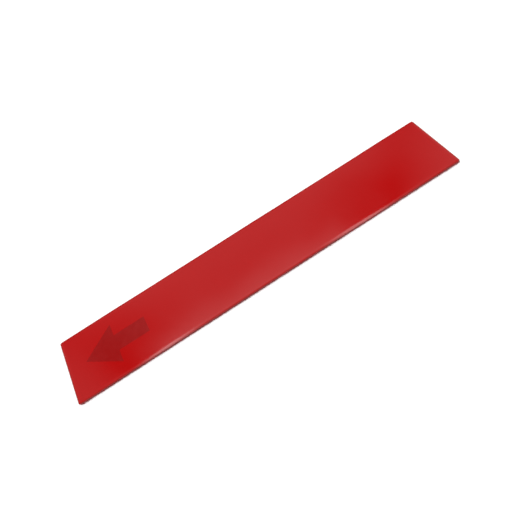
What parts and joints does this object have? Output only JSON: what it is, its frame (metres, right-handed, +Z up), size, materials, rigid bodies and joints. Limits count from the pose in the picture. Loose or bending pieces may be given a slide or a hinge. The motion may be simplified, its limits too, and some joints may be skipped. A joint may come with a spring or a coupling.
{
  "type": "ski climbing skin strip",
  "caption": "Short self-adhesive climbing skin strip for the kick zone of a ski: pile below, tacky glue above, under a glossy red release liner that peels back from the tail end.",
  "frame": {"origin": "on the pile's lower face, at the middle of the strip", "axes": "+X along the strip from the tip end to the tail end, +Y across it, +Z up from the pile to the release liner"},
  "size_m": [0.24, 0.04, 0.0023],
  "materials": {
    "pile": "matte",
    "ground_cloth": "matte",
    "membrane": "satin",
    "laminating_glue": "satin",
    "tape_carrier_film": "satin",
    "ski_glue": "gloss",
    "release_liner": "gloss",
    "arrow_ink": "gloss"
  },
  "bodies": {
    "skin": {"pile": "pile", "ground_cloth": "ground_cloth", "membrane": "membrane", "laminating_glue": "laminating_glue", "tape_carrier_film": "tape_carrier_film", "ski_glue": "ski_glue", "release_liner_stuck": "release_liner", "tip_arrow_print": "arrow_ink"},
    "liner_band_1": {"release_liner_band_1": "release_liner"},
    "liner_band_2": {"release_liner_band_2": "release_liner"},
    "liner_band_3": {"release_liner_band_3": "release_liner"},
    "liner_band_4": {"release_liner_band_4": "release_liner"},
    "liner_band_5": {"release_liner_band_5": "release_liner"},
    "liner_band_6": {"release_liner_band_6": "release_liner"},
    "liner_band_7": {"release_liner_band_7": "release_liner"},
    "liner_band_8": {"release_liner_band_8": "release_liner"},
    "liner_band_9": {"release_liner_band_9": "release_liner"}
  },
  "joints": [
    {"name": "liner_bend_1", "type": "hinge", "parent": "skin", "child": "liner_band_1", "pos_m": [-0.01, 0, 0.0023], "axis": [0, -1, 0], "range_deg": [0, 11.25]},
    {"name": "liner_bend_2", "type": "hinge", "parent": "liner_band_1", "child": "liner_band_2", "pos_m": [-0.0025, 0, 0.0023], "axis": [0, -1, 0], "range_deg": [0, 22.5]},
    {"name": "liner_bend_3", "type": "hinge", "parent": "liner_band_2", "child": "liner_band_3", "pos_m": [0.005, 0, 0.0023], "axis": [0, -1, 0], "range_deg": [0, 22.5]},
    {"name": "liner_bend_4", "type": "hinge", "parent": "liner_band_3", "child": "liner_band_4", "pos_m": [0.0125, 0, 0.0023], "axis": [0, -1, 0], "range_deg": [0, 22.5]},
    {"name": "liner_bend_5", "type": "hinge", "parent": "liner_band_4", "child": "liner_band_5", "pos_m": [0.02, 0, 0.0023], "axis": [0, -1, 0], "range_deg": [0, 22.5]},
    {"name": "liner_bend_6", "type": "hinge", "parent": "liner_band_5", "child": "liner_band_6", "pos_m": [0.0275, 0, 0.0023], "axis": [0, -1, 0], "range_deg": [0, 22.5]},
    {"name": "liner_bend_7", "type": "hinge", "parent": "liner_band_6", "child": "liner_band_7", "pos_m": [0.035, 0, 0.0023], "axis": [0, -1, 0], "range_deg": [0, 22.5]},
    {"name": "liner_bend_8", "type": "hinge", "parent": "liner_band_7", "child": "liner_band_8", "pos_m": [0.0425, 0, 0.0023], "axis": [0, -1, 0], "range_deg": [0, 22.5]},
    {"name": "liner_bend_9", "type": "hinge", "parent": "liner_band_8", "child": "liner_band_9", "pos_m": [0.05, 0, 0.0023], "axis": [0, -1, 0], "range_deg": [0, 11.25]}
  ],
  "couplings": [
    {"joint": "liner_bend_2", "follows": "liner_bend_1", "ratio": 2},
    {"joint": "liner_bend_3", "follows": "liner_bend_1", "ratio": 2},
    {"joint": "liner_bend_4", "follows": "liner_bend_1", "ratio": 2},
    {"joint": "liner_bend_5", "follows": "liner_bend_1", "ratio": 2},
    {"joint": "liner_bend_6", "follows": "liner_bend_1", "ratio": 2},
    {"joint": "liner_bend_7", "follows": "liner_bend_1", "ratio": 2},
    {"joint": "liner_bend_8", "follows": "liner_bend_1", "ratio": 2},
    {"joint": "liner_bend_9", "follows": "liner_bend_1", "ratio": 1}
  ]
}
